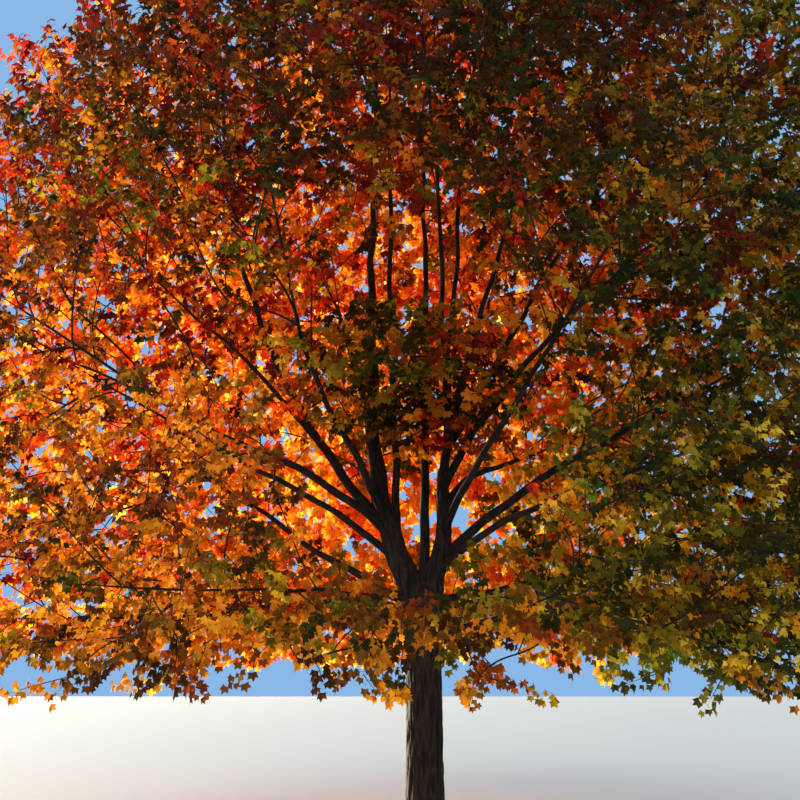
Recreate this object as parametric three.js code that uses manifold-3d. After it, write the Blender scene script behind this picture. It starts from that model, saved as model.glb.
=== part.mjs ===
// A broad autumn maple, built the way the tree is: a trunk that forks low into two leaders,
// tapering boughs that leave them on every side, and a mass of leafy twigs at the end of each limb.
// Millimetres, +Z up. The origin is at the middle of the flat cut at ground level.
// A turn is a compass angle in degrees: 0 points along +X, 90 along +Y, 270 along -Y.
import * as THREE from "three";
import { mergeVertices } from "three/addons/utils/BufferGeometryUtils.js";
import Module from "manifold-3d";

const wasm = await Module();
wasm.setup();
const { Manifold, Mesh } = wasm;

// Crown: its outline is a surface of revolution, widest at CROWN_WAIST
const CROWN_TOP = 13300;
const CROWN_WAIST = 4700;
const CROWN_RADIUS = 5650;
const CROWN_ROUNDING = { power: 2.2, root: 0.62 }; // how it draws in from the waist to the top
const SKIRT_HEIGHT = 1480; // the lowest leaves hang to this height, far from the trunk
const SKIRT_RISE = 900; // the underside of the crown is this much higher at the trunk
const SKIRT_TUCK = 0.12; // the skirt's radius is this share smaller than the waist's

// The crown's one large opening, on the -Y side, where the boughs show: it widens upwards inside
const WINDOW_MIDDLE = -200; // its middle's place along X
const WINDOW_HALF_WIDTH = 900;
const WINDOW_LOW = 2350;
const WINDOW_HIGH = 4500; // at the crown's edge
const WINDOW_RISE = 0.6; // its top rises by this much for each step towards the trunk
const WINDOW_DEPTH = 500; // it ends this far in front of the trunk's axis

// Trunk
const TRUNK_RADIUS = 195; // at breast height
const TRUNK_TAPER = 0.08; // share of that radius which it loses over
const TAPER_HEIGHT = 2000;
const TRUNK_SIDES = 16;
const TRUNK_STEPS = 9;
const STEP_CROWDING = 1.7; // the steps lie closer towards the flare
const FORK_HEIGHT = 2780; // where the bole's own section ends, under the crotch
const FORK_SPREAD = 0.36; // the bole widens by this share, left to right, into the fork, from
const SPREAD_HEIGHT = 1900;
const FLARE = 0.52; // extra radius at the ground, as a share
const FLARE_HEIGHT = 190; // over which the flare dies out
const ROOTS = 5; // buttress ridges in the flare
const ROOT_TURN = 0.6; // where the first lies, in radians
const ROOT_RIDGE = 0.2; // their height as a share of the radius
const STUB_HEIGHT = 3120; // the trunk's two stubs are cut here, where the leaders begin
const STUB_STEPS = 4;

// Fits
const GAP = 0.35; // clearance between a limb and what it grows from
const MIN_CLEAR = 2; // a leaf or twig nearer a limb than this is left out
const CELL_MARGIN = 6; // half the clearance between two masses
const SLIVER = 1; // a wrinkle in a mass's surface under this size is smoothed away

// Limbs: how many sides and steps, how a bough's curve and taper run
const LEADER_SIDES = 8;
const LEADER_STEPS = 10;
const BOUGH_SIDES = 5;
const BOUGH_STEPS = 5;
const HANDLE = 0.33; // of a bough's length, for the two handles of its curve
const TIP_SHARE = 0.42; // a bough's tip radius as a share of its foot's
const BOUGH_TAPER = 1.25;

// How far a mass reaches from its middle, outwards and upwards, and how far that lies past its limb's
// tip. A mass at a low tip is flatter.
const MASS_REACH = 2300;
const MASS_AHEAD = 1150;
const MASS_RISE = { low: 1250, high: 1800, lowTip: 2700, highTip: 4600 };

// Twigs: a mass has one stem, which runs through its middle, and twigs that grow to seeded darts
const STEM_SHARE = 0.92; // of a limb's tip radius, for the foot of the stem
const STEM_DRAW = 0.93; // a stem too long for its space is tried again at this share, down to
const STEM_LEAST = 0.12; // of its full length
const DARTS = 900;
const SPRAYS = 5; // twigs on a stem, besides the leaves at its end
const SPRAY_SPACING = 900; // least distance between two twig ends in a mass
const SPRAY_DRAW = 0.26; // a twig ends this share of the way back from its dart to the mass's middle
const DETOUR = 0.45; // what a step along the stem costs a twig, against a step of its own
const STEM_NODES = 9; // places along a stem where a twig may start
const TWIG_NODES = [0.35, 0.6]; // and along a twig, as shares of it
const TWIG_RADIUS = { stemEnd: 19, foot: 24, tip: 15 };

// Leaves stand for whole sprays: each is a pointed blade of eight faces
const LEAF_LENGTH = 1120;
const LEAF_HALF_WIDTH = 0.45; // as a share of its length
const LEAF_WIDEST = 0.55; // where it is widest, and
const LEAF_THICKEST = 0.2; // where it is thickest, as shares of the way to its tip
const LEAF_THICKNESS = 32;
const LEAF_SIDES = [0, 1, -1]; // one at a twig's end and one on each side of it
const LEAF_TRIES = 12; // ways that are tried before a leaf is left out
const LEAF_ROOT = { end: 0.985, side: 0.55, spread: 0.25 }; // along its twig
const LEAF_SWING = { side: 65, spread: 60 }; // degrees away from its twig
const LEAF_DROOP = { least: 0.2, spread: 0.4 };
const LEAF_FACING = { out: 0.7, up: 0.55, own: 0.9 };

// Leaders: [x, y, z] of the points that each axis passes through, radii at foot and tip, and how
// quickly the one becomes the other
const LEADERS = [
  {
    name: "leader_left",
    path: [
      [-20, 0, 2250],
      [-150, 5, 2850],
      [-430, 20, 3520],
      [-590, 40, 4600],
      [-620, 60, 6600],
      [-640, 40, 8800],
      [-560, 0, 11300],
    ],
    foot: 165,
    tip: 28,
    taper: 3,
    tint: "leaf_red",
  },
  {
    name: "leader_right",
    path: [
      [20, 0, 2250],
      [130, 0, 2850],
      [245, 10, 3500],
      [290, 20, 4600],
      [400, 0, 6300],
      [520, -60, 7900],
      [760, -150, 9800],
    ],
    foot: 155,
    tip: 26,
    taper: 4.5,
    tint: "leaf_orange",
  },
];

// Boughs: what each grows from and at what height, its turn, how far its tip lies from the trunk's
// axis and how high, how steeply it leaves and arrives in degrees above level, its foot radius,
// and the autumn tint of the mass that it carries
const BOUGHS = [
  ["stem_middle", "trunk", 2700, 84, 850, 9000, 78, 84, 62, "leaf_red"],
  ["stem_second", "leader_left", 3150, 240, 820, 8900, 84, 86, 50, "leaf_bronze"],
  ["bough_left_high", "leader_left", 3420, 170, 2670, 8190, 48, 82, 64, "leaf_red"],
  ["bough_left_outer", "bough_left_high", 4480, 186, 2920, 6140, 46, 36, 38, "leaf_crimson"],
  ["bough_left_long", "leader_left", 3330, 211, 3300, 4550, 44, 27, 54, "leaf_orange"],
  ["bough_left_mid", "leader_left", 3020, 188, 3000, 4660, 46, 30, 46, "leaf_amber"],
  ["bough_left_back", "trunk", 2500, 162, 3000, 4350, 26, 31, 52, "leaf_orange"],
  ["bough_left_low", "trunk", 2730, 199, 2800, 2380, -5, -2, 36, "leaf_amber"],
  ["bough_front_left", "leader_left", 3550, 230, 2150, 5500, 44, 64, 50, "leaf_olive"],
  ["bough_front_left_low", "trunk", 2250, 238, 2700, 2500, 30, -8, 38, "leaf_amber"],
  ["bough_front_right_low", "trunk", 2120, 293, 2700, 2400, 30, -8, 38, "leaf_amber"],
  ["bough_front_right", "leader_right", 3420, 306, 2500, 5300, 50, 36, 48, "leaf_olive"],
  ["bough_front_high", "leader_right", 4700, 273, 2300, 7100, 56, 36, 44, "leaf_bronze"],
  ["bough_right_main", "leader_right", 3060, 352, 2950, 4820, 44, 26, 62, "leaf_olive"],
  ["bough_right_front", "leader_right", 2900, 325, 2950, 3850, 42, 10, 48, "leaf_green"],
  ["bough_right_back", "trunk", 2600, 22, 3000, 3360, 12, 26, 46, "leaf_green"],
  ["bough_right_low", "trunk", 2200, 342, 2900, 2400, 20, -5, 40, "leaf_olive"],
  ["bough_right_upper", "leader_right", 3950, 346, 2800, 6800, 62, 38, 50, "leaf_yellow"],
  ["bough_right_inner", "leader_right", 4250, 325, 1650, 8000, 72, 66, 46, "leaf_bronze"],
  ["bough_right_high", "leader_right", 4420, 12, 2500, 8150, 58, 54, 48, "leaf_olive"],
  ["bough_back_right_low", "trunk", 2380, 50, 2950, 2700, 26, -4, 40, "leaf_green"],
  ["bough_back_low", "trunk", 2300, 94, 2950, 2680, 30, -4, 42, "leaf_yellow"],
  ["bough_back_left_low", "trunk", 2420, 140, 2950, 2700, 26, -4, 42, "leaf_amber"],
  ["bough_back_right", "leader_right", 3700, 52, 2850, 4950, 46, 20, 50, "leaf_olive"],
  ["bough_back_left", "leader_left", 3500, 112, 2850, 5000, 46, 20, 52, "leaf_orange"],
  ["bough_back_right_high", "leader_right", 4600, 62, 2350, 7350, 58, 44, 46, "leaf_yellow"],
  ["bough_back_left_high", "leader_left", 4500, 124, 2350, 7350, 60, 44, 48, "leaf_red"],
];

// One small mass hangs in the opening: its stem leaves a leader at this height and turn
const INNER_MASS = {
  name: "foliage_inner",
  parent: "leader_left",
  height: 4700,
  turn: 292,
  climb: 20,
  ahead: 1050,
  reach: 1500,
  rise: 850,
  stemRadius: 24,
  tint: "leaf_bronze",
};
const SEED = 101; // of the first mass's stream of numbers, and
const SEED_STEP = 17; // what each next mass adds

// Colours and roughness
const COLOURS = {
  bark: 0x4a3b2e,
  leaf_crimson: 0x7d1f14,
  leaf_red: 0xb8341a,
  leaf_orange: 0xd9601c,
  leaf_amber: 0xd98a20,
  leaf_yellow: 0xc9a22c,
  leaf_bronze: 0x7a4a1c,
  leaf_olive: 0x6c6420,
  leaf_green: 0x4a5a22,
};
const ROUGHNESS = { bark: 0.9, leaf: 0.6 };

const UP = new THREE.Vector3(0, 0, 1);
const rad = THREE.MathUtils.degToRad;
const outwards = (turn) => new THREE.Vector3(Math.cos(rad(turn)), Math.sin(rad(turn)), 0);
const sloping = (turn, climb) =>
  outwards(turn).multiplyScalar(Math.cos(rad(climb))).addScaledVector(UP, Math.sin(rad(climb)));

// A seeded stream of numbers from 0 to 1
function seeded(seed) {
  let state = seed >>> 0;
  return () => {
    state = (state + 0x6d2b79f5) >>> 0;
    let t = Math.imul(state ^ (state >>> 15), state | 1);
    t ^= t + Math.imul(t ^ (t >>> 7), t | 61);
    return ((t ^ (t >>> 14)) >>> 0) / 4294967296;
  };
}

// Solids

function solidOf(geometry) {
  const bare = geometry.clone();
  bare.deleteAttribute("normal");
  bare.deleteAttribute("uv");
  const merged = mergeVertices(bare, 1e-3);
  return new Manifold(
    new Mesh({
      numProp: 3,
      vertProperties: merged.attributes.position.array,
      triVerts: new Uint32Array(merged.index.array),
    }),
  );
}

function largestBody(solid) {
  const bodies = solid.decompose();
  bodies.sort((a, b) => b.volume() - a.volume());
  return bodies[0];
}

function meshOf(name, solid, slot) {
  const { vertProperties, triVerts } = solid.getMesh();
  const geometry = new THREE.BufferGeometry()
    .setAttribute("position", new THREE.BufferAttribute(vertProperties, 3))
    .setIndex(new THREE.BufferAttribute(triVerts, 1));
  geometry.computeVertexNormals();
  const roughness = slot === "bark" ? ROUGHNESS.bark : ROUGHNESS.leaf;
  const material = new THREE.MeshStandardMaterial({ color: COLOURS[slot], roughness, metalness: 0 });
  const mesh = new THREE.Mesh(geometry, material);
  mesh.name = name;
  return mesh;
}

function boxesMeet(a, b) {
  const [p, q] = [a.boundingBox(), b.boundingBox()];
  return [0, 1, 2].every((i) => p.min[i] <= q.max[i] + MIN_CLEAR && q.min[i] <= p.max[i] + MIN_CLEAR);
}

// A limb: a cylinder bent along a stretch of a curve, with radiusAt giving its taper
function limbSolid(curve, from, to, sides, steps, radiusAt) {
  const geometry = new THREE.CylinderGeometry(1, 1, 1, sides, steps);
  const position = geometry.attributes.position;
  const stretch = Array.from({ length: steps + 1 }, (_, i) => from + ((to - from) * i) / steps);
  const points = stretch.map((u) => curve.getPointAt(u));
  const tangents = stretch.map((u) => curve.getTangentAt(u));
  let across = new THREE.Vector3(0, 1, 0);
  const frames = tangents.map((tangent) => {
    across = across.clone().addScaledVector(tangent, -across.dot(tangent)).normalize();
    return [across, new THREE.Vector3().crossVectors(across, tangent)];
  });
  for (let v = 0; v < position.count; v++) {
    const ring = Math.round((position.getY(v) + 0.5) * steps);
    const radius = radiusAt(stretch[ring]);
    const point = points[ring]
      .clone()
      .addScaledVector(frames[ring][0], radius * position.getX(v))
      .addScaledVector(frames[ring][1], radius * position.getZ(v));
    position.setXYZ(v, point.x, point.y, point.z);
  }
  return solidOf(geometry);
}

// The bole, with its root flare, taper and the widening under the fork; grow makes it that much fatter
function boleSolid(grow) {
  const geometry = new THREE.CylinderGeometry(1, 1, 1, TRUNK_SIDES, TRUNK_STEPS);
  const position = geometry.attributes.position;
  for (let v = 0; v < position.count; v++) {
    const share = position.getY(v) + 0.5;
    const height = FORK_HEIGHT * share ** STEP_CROWDING;
    const angle = Math.atan2(position.getZ(v), position.getX(v));
    const flare = Math.exp(-height / FLARE_HEIGHT);
    const ridges = 1 + ROOT_RIDGE * flare * Math.cos(ROOTS * angle + ROOT_TURN);
    const taper = 1 + TRUNK_TAPER * (0.5 - Math.min(1, height / TAPER_HEIGHT));
    const radius = TRUNK_RADIUS * (taper + FLARE * flare) * ridges + grow;
    const spread = 1 + FORK_SPREAD * THREE.MathUtils.smoothstep(height, SPREAD_HEIGHT, FORK_HEIGHT);
    const rim = Math.hypot(position.getX(v), position.getZ(v)) * radius;
    const top = share === 1 ? grow : 0;
    position.setXYZ(v, rim * Math.cos(angle) * spread, -rim * Math.sin(angle), height + top);
  }
  return solidOf(geometry);
}

// Limbs: each has a curve and the share of it that is its own solid

const limbs = new Map();

function shareAtHeight(curve, height) {
  let [low, high] = [0, 1];
  for (let i = 0; i < 40; i++) {
    const middle = (low + high) / 2;
    if (curve.getPointAt(middle).z < height) low = middle;
    else high = middle;
  }
  return low;
}

for (const { name, path, foot, tip, taper, tint } of LEADERS) {
  const curve = new THREE.CatmullRomCurve3(path.map((p) => new THREE.Vector3(...p)), false, "centripetal");
  const from = shareAtHeight(curve, STUB_HEIGHT) + GAP / curve.getLength();
  const radiusAt = (share) => tip + (foot - tip) * (1 - share) ** taper;
  limbs.set(name, { name, curve, from, radiusAt, sides: LEADER_SIDES, steps: LEADER_STEPS, tint });
}

const trunkAxis = new THREE.LineCurve3(new THREE.Vector3(0, 0, 0), new THREE.Vector3(0, 0, FORK_HEIGHT));

for (const [name, parent, height, turn, reach, rise, leave, arrive, foot, tint] of BOUGHS) {
  const axis = parent === "trunk" ? trunkAxis : limbs.get(parent).curve;
  const start = axis.getPointAt(shareAtHeight(axis, height));
  const end = outwards(turn).multiplyScalar(reach).setZ(rise);
  const facing = THREE.MathUtils.radToDeg(Math.atan2(end.y - start.y, end.x - start.x));
  const handle = start.distanceTo(end) * HANDLE;
  const curve = new THREE.CubicBezierCurve3(
    start,
    start.clone().addScaledVector(sloping(facing, leave), handle),
    end.clone().addScaledVector(sloping(facing, arrive), -handle),
    end,
  );
  const radiusAt = (share) => foot * (TIP_SHARE + (1 - TIP_SHARE) * (1 - share) ** BOUGH_TAPER);
  limbs.set(name, { name, curve, from: 0, radiusAt, sides: BOUGH_SIDES, steps: BOUGH_STEPS, tint });
}

function stub({ curve, radiusAt }, grow) {
  const end = shareAtHeight(curve, STUB_HEIGHT) + grow / curve.getLength();
  return limbSolid(curve, 0, end, LEADER_SIDES, STUB_STEPS, (share) => radiusAt(share) + grow);
}

function trunkSolid(grow) {
  return LEADERS.reduce((solid, { name }) => solid.add(stub(limbs.get(name), grow)), boleSolid(grow));
}

const solids = new Map([["trunk", trunkSolid(0)]]);
const grown = new Map([["trunk", trunkSolid(GAP)]]);
for (const limb of limbs.values()) {
  const { curve, from, sides, steps, radiusAt } = limb;
  let solid = limbSolid(curve, from, 1, sides, steps, radiusAt);
  for (const other of grown.values()) if (boxesMeet(solid, other)) solid = solid.subtract(other);
  solids.set(limb.name, largestBody(solid));
  const earlier = Math.max(0, from - (2 * GAP) / curve.getLength());
  grown.set(limb.name, limbSolid(curve, earlier, 1, sides, steps, (share) => radiusAt(share) + GAP));
}

// The crown's space: its outline, and the cell of it that each mass keeps to

function crownRadius(height) {
  if (height < CROWN_WAIST) {
    return CROWN_RADIUS * (1 - SKIRT_TUCK * ((CROWN_WAIST - height) / (CROWN_WAIST - SKIRT_HEIGHT)) ** 2);
  }
  const share = Math.min(1, (height - CROWN_WAIST) / (CROWN_TOP - CROWN_WAIST));
  return CROWN_RADIUS * (1 - share ** CROWN_ROUNDING.power) ** CROWN_ROUNDING.root;
}

function underside(radius) {
  return SKIRT_HEIGHT + SKIRT_RISE * Math.max(0, 1 - radius / CROWN_RADIUS) ** 1.5;
}

function inWindow(point) {
  const depth = -point.y;
  if (depth < WINDOW_DEPTH || Math.abs(point.x - WINDOW_MIDDLE) > WINDOW_HALF_WIDTH) return false;
  return point.z > WINDOW_LOW && point.z < WINDOW_HIGH + WINDOW_RISE * (CROWN_RADIUS - depth);
}

// Masses: each has the foot, heading and radius of its stem, its middle and its reach

function massAtTip({ name, curve, radiusAt, tint }) {
  const { low, high, lowTip, highTip } = MASS_RISE;
  const foot = curve.getPointAt(1);
  const tipHeight = THREE.MathUtils.clamp(foot.z, lowTip, highTip);
  return {
    name: name.replace(/^leader/, "foliage_top").replace(/^(bough|stem)/, "foliage"),
    foot,
    heading: curve.getTangentAt(1),
    ahead: MASS_AHEAD,
    reach: MASS_REACH,
    rise: THREE.MathUtils.mapLinear(tipHeight, lowTip, highTip, low, high),
    stemRadius: radiusAt(1) * STEM_SHARE,
    tint,
  };
}

function massInside({ parent, height, turn, climb, ...sizes }) {
  const axis = limbs.get(parent).curve;
  return { ...sizes, foot: axis.getPointAt(shareAtHeight(axis, height)), heading: sloping(turn, climb) };
}

const masses = [...[...limbs.values()].map(massAtTip), massInside(INNER_MASS)].map((mass, i) => ({
  ...mass,
  middle: mass.foot.clone().addScaledVector(mass.heading, mass.ahead),
  random: seeded(SEED + SEED_STEP * i),
}));

function inSpace(point, mass) {
  const radius = Math.hypot(point.x, point.y);
  if (radius > crownRadius(point.z) || point.z < underside(radius) || point.z > CROWN_TOP) return false;
  if (mass.name !== INNER_MASS.name && inWindow(point)) return false;
  const from = point.clone().sub(mass.middle);
  if (Math.hypot(from.x, from.y) ** 2 / mass.reach ** 2 + (from.z / mass.rise) ** 2 > 1) return false;
  return masses.every((other) => {
    if (other === mass) return true;
    const apart = other.middle.clone().sub(mass.middle);
    const halfway = apart.length() / 2 - CELL_MARGIN;
    return from.dot(apart.normalize()) < halfway;
  });
}

function isClear(solid, others) {
  return others.every((other) => !boxesMeet(solid, other) || solid.minGap(other, MIN_CLEAR) >= MIN_CLEAR);
}

function cornersOf(solid) {
  const { vertProperties } = solid.getMesh();
  return Array.from({ length: vertProperties.length / 3 }, (_, i) =>
    new THREE.Vector3().fromArray(vertProperties, 3 * i),
  );
}

const keepsTo = (solid, mass) => cornersOf(solid).every((corner) => inSpace(corner, mass));
const fits = (solid, mass) => keepsTo(solid, mass) && isClear(solid, [...solids.values()]);

// A leaf: a four-sided double pyramid whose rim is drawn out to a root, two sides and a tip, given
// along and across the leaf as shares of its length
const LEAF_RIM = [
  [1, 0],
  [LEAF_WIDEST, LEAF_HALF_WIDTH],
  [0, 0],
  [LEAF_WIDEST, -LEAF_HALF_WIDTH],
];

function leafSolid(root, heading, facing) {
  const geometry = new THREE.SphereGeometry(1, LEAF_RIM.length, 2);
  const position = geometry.attributes.position;
  const side = new THREE.Vector3().crossVectors(facing, heading).normalize();
  const face = new THREE.Vector3().crossVectors(heading, side);
  for (let v = 0; v < position.count; v++) {
    const rim = Math.abs(position.getY(v)) < 0.5;
    const quarters = Math.atan2(-position.getZ(v), position.getX(v)) / (Math.PI / 2);
    const corner = (Math.round(quarters) + LEAF_RIM.length) % LEAF_RIM.length;
    const [along, across] = rim ? LEAF_RIM[corner] : [LEAF_THICKEST, 0];
    const depth = rim ? 0 : Math.sign(position.getY(v)) * (LEAF_THICKNESS / 2);
    const point = root
      .clone()
      .addScaledVector(heading, along * LEAF_LENGTH)
      .addScaledVector(side, across * LEAF_LENGTH)
      .addScaledVector(face, depth);
    position.setXYZ(v, point.x, point.y, point.z);
  }
  return solidOf(geometry);
}

function twigSolid(from, to, foot, tip) {
  return limbSolid(new THREE.LineCurve3(from, to), 0, 1, 3, 1, (share) => foot + (tip - foot) * share);
}

// Where a leaf on this mass faces: outwards and up, with a little of its own way
function facingAt(point, random) {
  const own = new THREE.Vector3(random() - 0.5, random() - 0.5, random() - 0.5);
  return new THREE.Vector3(point.x, point.y, 0)
    .setLength(LEAF_FACING.out)
    .addScaledVector(UP, LEAF_FACING.up)
    .addScaledVector(own, LEAF_FACING.own)
    .normalize();
}

// A leaf of a spray: side is 0 for the one at the twig's end, 1 or -1 for those further back
function sprayLeaf(from, to, side, random) {
  const heading = to.clone().sub(from).normalize();
  const along = side === 0 ? LEAF_ROOT.end : LEAF_ROOT.side + LEAF_ROOT.spread * random();
  const root = from.clone().lerp(to, along);
  const facing = facingAt(root, random);
  const swing = rad(side * LEAF_SWING.side + LEAF_SWING.spread * (random() - 0.5));
  const droop = LEAF_DROOP.least + LEAF_DROOP.spread * random();
  const way = heading.applyAxisAngle(facing, swing).addScaledVector(UP, -droop).normalize();
  facing.addScaledVector(way, -facing.dot(way)).normalize();
  return leafSolid(root, way, facing);
}

function sprayLeaves(from, to, mass, others) {
  return LEAF_SIDES.flatMap((side) => {
    for (let i = 0; i < LEAF_TRIES; i++) {
      const leaf = sprayLeaf(from, to, side, mass.random);
      if (fits(leaf, mass) && isClear(leaf, others)) return [leaf];
    }
    return [];
  });
}

// Points in the mass's space that its twigs grow to, by seeded darts that keep their distance
function twigEnds(mass) {
  const { middle, random, reach, rise } = mass;
  const ends = [];
  const size = new THREE.Vector3(2 * reach, 2 * reach, 2 * rise);
  for (let dart = 0; dart < DARTS && ends.length < SPRAYS; dart++) {
    const offset = new THREE.Vector3(random() - 0.5, random() - 0.5, random() - 0.5).multiply(size);
    const point = middle.clone().add(offset);
    const end = point.clone().lerp(middle, SPRAY_DRAW);
    if (!inSpace(point, mass)) continue;
    if (ends.every((other) => other.distanceTo(end) > SPRAY_SPACING)) ends.push(end);
  }
  return ends;
}

// A mass's stem runs on from its foot for as long as it keeps to the mass's space
function stemOf(mass) {
  const { foot, heading, stemRadius, ahead } = mass;
  const root = foot.clone().addScaledVector(heading, GAP);
  for (let share = 1; ; share *= STEM_DRAW) {
    const end = root.clone().addScaledVector(heading, 2 * ahead * share);
    const solid = twigSolid(root, end, stemRadius, TWIG_RADIUS.stemEnd);
    if (keepsTo(solid, mass) || share < STEM_LEAST) return { root, end, solid };
  }
}

function massSolid(mass) {
  const { root, end: stemEnd, solid: stem } = stemOf(mass);
  const pieces = [stem];
  const along = (share) => root.clone().lerp(stemEnd, share);
  const nodes = Array.from({ length: STEM_NODES }, (_, i) => along((i + 1) / (STEM_NODES + 1)));
  const ends = twigEnds(mass).sort((a, b) => a.distanceTo(root) - b.distanceTo(root));
  for (const end of ends) {
    const cost = (node) => node.distanceTo(end) + DETOUR * node.distanceTo(root);
    const start = nodes.reduce((best, node) => (cost(node) < cost(best) ? node : best));
    const twig = twigSolid(start, end, TWIG_RADIUS.foot, TWIG_RADIUS.tip);
    const leaves = fits(twig, mass) ? sprayLeaves(start, end, mass, pieces) : [];
    if (leaves.length === 0) continue;
    pieces.push(twig, ...leaves);
    for (const share of TWIG_NODES) nodes.push(start.clone().lerp(end, share));
  }
  const others = pieces.filter((piece) => piece !== stem);
  pieces.push(...sprayLeaves(along(0.5), stemEnd, mass, others));
  let whole = pieces.reduce((solid, piece) => solid.add(piece));
  for (const other of grown.values()) if (boxesMeet(whole, other)) whole = whole.subtract(other);
  return largestBody(whole.simplify(SLIVER));
}

// The tree

const tree = new THREE.Group();
for (const [name, solid] of solids) tree.add(meshOf(name, solid, "bark"));
for (const mass of masses) tree.add(meshOf(mass.name, massSolid(mass), mass.tint));

export default tree;
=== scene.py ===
import math

import bmesh
import bpy
import numpy as np
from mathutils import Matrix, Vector, noise


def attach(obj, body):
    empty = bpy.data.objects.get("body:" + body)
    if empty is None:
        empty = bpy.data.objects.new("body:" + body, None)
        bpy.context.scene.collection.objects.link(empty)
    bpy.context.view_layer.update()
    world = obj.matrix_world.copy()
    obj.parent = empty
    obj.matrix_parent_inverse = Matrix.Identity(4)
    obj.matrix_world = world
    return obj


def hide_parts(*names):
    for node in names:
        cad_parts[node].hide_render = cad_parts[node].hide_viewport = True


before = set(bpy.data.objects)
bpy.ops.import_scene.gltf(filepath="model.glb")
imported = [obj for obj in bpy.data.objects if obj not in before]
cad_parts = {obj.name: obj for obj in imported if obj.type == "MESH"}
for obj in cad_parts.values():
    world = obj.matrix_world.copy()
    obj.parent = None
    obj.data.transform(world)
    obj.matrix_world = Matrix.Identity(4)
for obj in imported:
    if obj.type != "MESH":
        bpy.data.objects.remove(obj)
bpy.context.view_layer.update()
BODY = "root"

# Crown: its outline is a surface of revolution, widest at CROWN_WAIST
CROWN_TOP = 13.3
CROWN_WAIST = 4.7
CROWN_RADIUS = 5.58
ROUNDING_POWER = 2.4
ROUNDING_ROOT = 0.62
SKIRT_HEIGHT = 1.48
SKIRT_RISE = 0.9
SKIRT_TUCK = 0.12
SKIRT_POWER = 1.5
HEM_RISE = 0.85  # how far the skirt's edge is raised between its hanging sprays
HEM_SPACING = 0.85
HEM_LEVEL = 0.7  # where the hem is read in the noise
HEM_BACK = 0.5  # how much higher it hangs away from the side at -Y, between these depths
HEM_DEPTHS = (-2.8, 0.5)

# The crown's opening at -Y, where the boughs show: no leaves in its middle and fewer round it
WINDOW_MIDDLE = -0.2
WINDOW_HALF_WIDTH = 0.9
WINDOW_LOW = 2.35
WINDOW_HIGH = 4.5
WINDOW_RISE = 0.6
WINDOW_DEPTH = 1.9
OPENING_MIDDLE = -0.85
OPENING_HALF_WIDTH = 2.4
OPENING_SPREAD = 0.38  # how much its half width grows with each metre inwards
OPENING_EDGE = (0.75, 1.15)  # where it begins and ends to close sideways, as shares of its half width
OPENING_SLANT = 0.35  # how fast its upper edge falls to both sides
OPENING_BELOW = 1.0  # how far under the window the crown begins to open, and over it to close
OPENING_ABOVE = 1.0
OPENING_RISE = 0.5  # how far over the window's lower edge it is fully open
OPENING_DEPTHS = (0.0, 1.0)  # it closes inwards between these distances before the trunk's axis
OPENING_KEPT = 0.17  # share of the darts that are kept in its middle

# Trunk
TRUNK_RADIUS = 0.195
TRUNK_TAPER = 0.08
TAPER_HEIGHT = 2.0
TAPER_MIDDLE = 0.5  # the share of that height at which the bole has TRUNK_RADIUS
FORK_HEIGHT = 2.78
FORK_SPREAD = 0.36
SPREAD_HEIGHT = 1.9
CROTCH_START = 2.45  # the bole's top is rounded between this height and the next, in the leaders' feet
CROTCH_TOP = 2.88
FLARE = 0.52
FLARE_HEIGHT = 0.19
ROOTS = 5
ROOT_TURN = 0.6
ROOT_RIDGE = 0.2
TRUNK_TOP = 4.2  # up to here the leaders are of one skin with the trunk
LEADER_OVERLAP = 0.05
SKIN_VOXEL = 0.0105
SKIN_SMOOTHING = 5
CUT_MARGIN = 0.06

# Limbs
HANDLE = 0.33
TIP_SHARE = 0.42
BOUGH_TAPER = 1.25
PATH_STEPS = 240
KNOT_STEPS = 40  # points of a leader's curve from one knot to the next
SWAY = 0.055  # how far a limb strays from its curve, over what length
SWAY_LENGTH = 0.6
SWAY_START = 0.4  # where the limbs and the axes are read in the noise, apart from each other
SWAY_SEED_STEP = 1.7
SWAY_AXIS_STEP = 3.7
COLLAR = 0.15  # how much a bough swells where it leaves its parent, and how far along
COLLAR_LENGTH = 0.06

# Leaders: the points that each axis passes through, radii at foot and tip, the taper's power, the tint
LEADERS = {
    "leader_left": (
        [
            (-0.02, 0, 2.25),
            (-0.15, 0.005, 2.85),
            (-0.43, 0.02, 3.52),
            (-0.59, 0.04, 4.6),
            (-0.62, 0.06, 6.6),
            (-0.64, 0.04, 8.8),
            (-0.56, 0, 11.3),
        ],
        0.165,
        0.028,
        3,
        "leaf_red",
    ),
    "leader_right": (
        [
            (0.02, 0, 2.25),
            (0.13, 0, 2.85),
            (0.245, 0.01, 3.5),
            (0.29, 0.02, 4.6),
            (0.4, 0, 6.3),
            (0.52, -0.06, 7.9),
            (0.76, -0.15, 9.8),
        ],
        0.155,
        0.026,
        4.5,
        "leaf_orange",
    ),
}

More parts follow.
